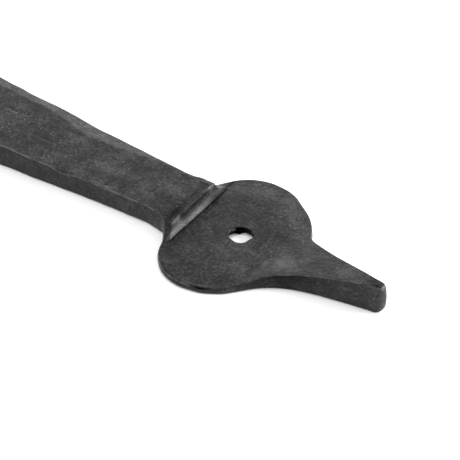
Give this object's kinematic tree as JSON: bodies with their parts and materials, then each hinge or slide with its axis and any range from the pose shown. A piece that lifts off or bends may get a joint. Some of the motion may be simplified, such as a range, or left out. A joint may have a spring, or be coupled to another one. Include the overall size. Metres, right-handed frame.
{
  "type": "strap hinge",
  "caption": "Forged T-type strap hinge: a long tapered strap with a rolled eye, a short cross leaf with knuckles, and thin round penny ends with thick pointed tips.",
  "frame": {"origin": "centre of the frame leaf's screw holes, on the back plane that bears on the door frame", "axes": "+X along the strap from the pin to its tip, +Y along the hinge pin, +Z away from the door's face"},
  "size_m": [0.3482, 0.186, 0.019],
  "materials": {
    "waxed_iron": "hammered mild steel under black beeswax, satin",
    "pin_iron": "mild steel under black beeswax, heads peened with a hammer"
  },
  "bodies": {
    "frame_side": {"frame_leaf": "waxed_iron", "hinge_pin": "pin_iron"},
    "door_side": {"strap": "waxed_iron"}
  },
  "joints": [
    {"name": "strap_swing", "type": "hinge", "parent": "frame_side", "child": "door_side", "pos_m": [0.027, 0, 0.0095], "axis": [0, -1, 0], "range_deg": [0, 180]}
  ]
}
